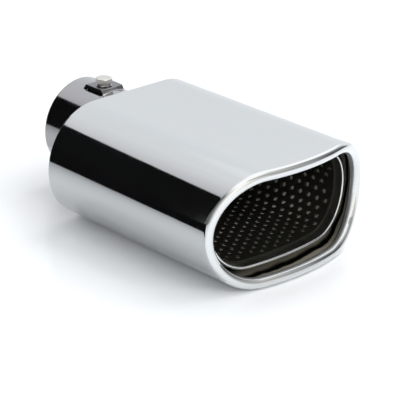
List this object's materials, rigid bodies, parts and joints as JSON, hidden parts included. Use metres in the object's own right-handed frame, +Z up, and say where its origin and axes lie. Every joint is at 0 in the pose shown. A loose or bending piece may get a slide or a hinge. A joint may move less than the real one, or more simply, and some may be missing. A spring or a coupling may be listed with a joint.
{
  "type": "exhaust tip",
  "caption": "Double-wall oval exhaust tip in polished steel: rolled bowed mouth, recessed inner sleeve with a perforated core, round slip-on inlet with a clamp screw.",
  "frame": {"origin": "centre of the inlet neck's open end", "axes": "+X along the inlet's axis from the inlet to the mouth, +Z up towards the clamp screw, +Y to the left when looking from the inlet to the mouth"},
  "size_m": [0.207, 0.135, 0.075],
  "materials": {
    "polished_steel": "polished",
    "dark_steel": "satin",
    "screw_steel": "satin"
  },
  "bodies": {
    "root": {"outer_sleeve": "polished_steel", "rear_cap": "polished_steel", "inlet_neck": "polished_steel", "inner_sleeve": "polished_steel", "perforated_core": "dark_steel", "clamp_screw": "screw_steel", "nut_plate": "dark_steel"}
  },
  "joints": []
}
